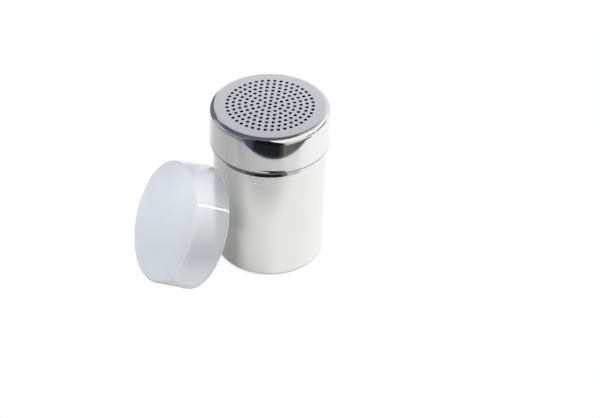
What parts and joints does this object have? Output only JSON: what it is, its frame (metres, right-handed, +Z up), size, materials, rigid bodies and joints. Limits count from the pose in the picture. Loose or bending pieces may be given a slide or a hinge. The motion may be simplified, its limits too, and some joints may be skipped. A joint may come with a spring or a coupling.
{
  "type": "sugar dredger",
  "caption": "Straight steel shaker cup with a push-on perforated lid, and a frosted plastic cover taken off and leaning against the cup.",
  "frame": {"origin": "centre of the cup's flat base, on the surface that the dredger stands on", "axes": "+Z up along the cup's axis, -Y towards the front, and the cover leans on the cup at -X and -Y"},
  "size_m": [0.1145, 0.1038, 0.1005],
  "materials": {
    "cup_steel": "stainless steel, drawn and polished to a soft mirror",
    "lid_steel": "stainless steel, mirror-polished skirt and a satin perforated plate",
    "frosted_plastic": "translucent frosted polypropylene, cool white"
  },
  "bodies": {
    "cup": {"cup": "cup_steel"},
    "lid": {"perforated_lid": "lid_steel"},
    "cover": {"cover": "frosted_plastic"}
  },
  "joints": [
    {"name": "lid_lift", "type": "slide", "parent": "cup", "child": "lid", "axis": [0, 0, 1], "range_m": [0, 0.035]},
    {"name": "cover_away", "type": "slide", "parent": "cup", "child": "cover", "axis": [-0.8214, -0.3453, 0.454], "range_m": [0, 0.06]}
  ]
}
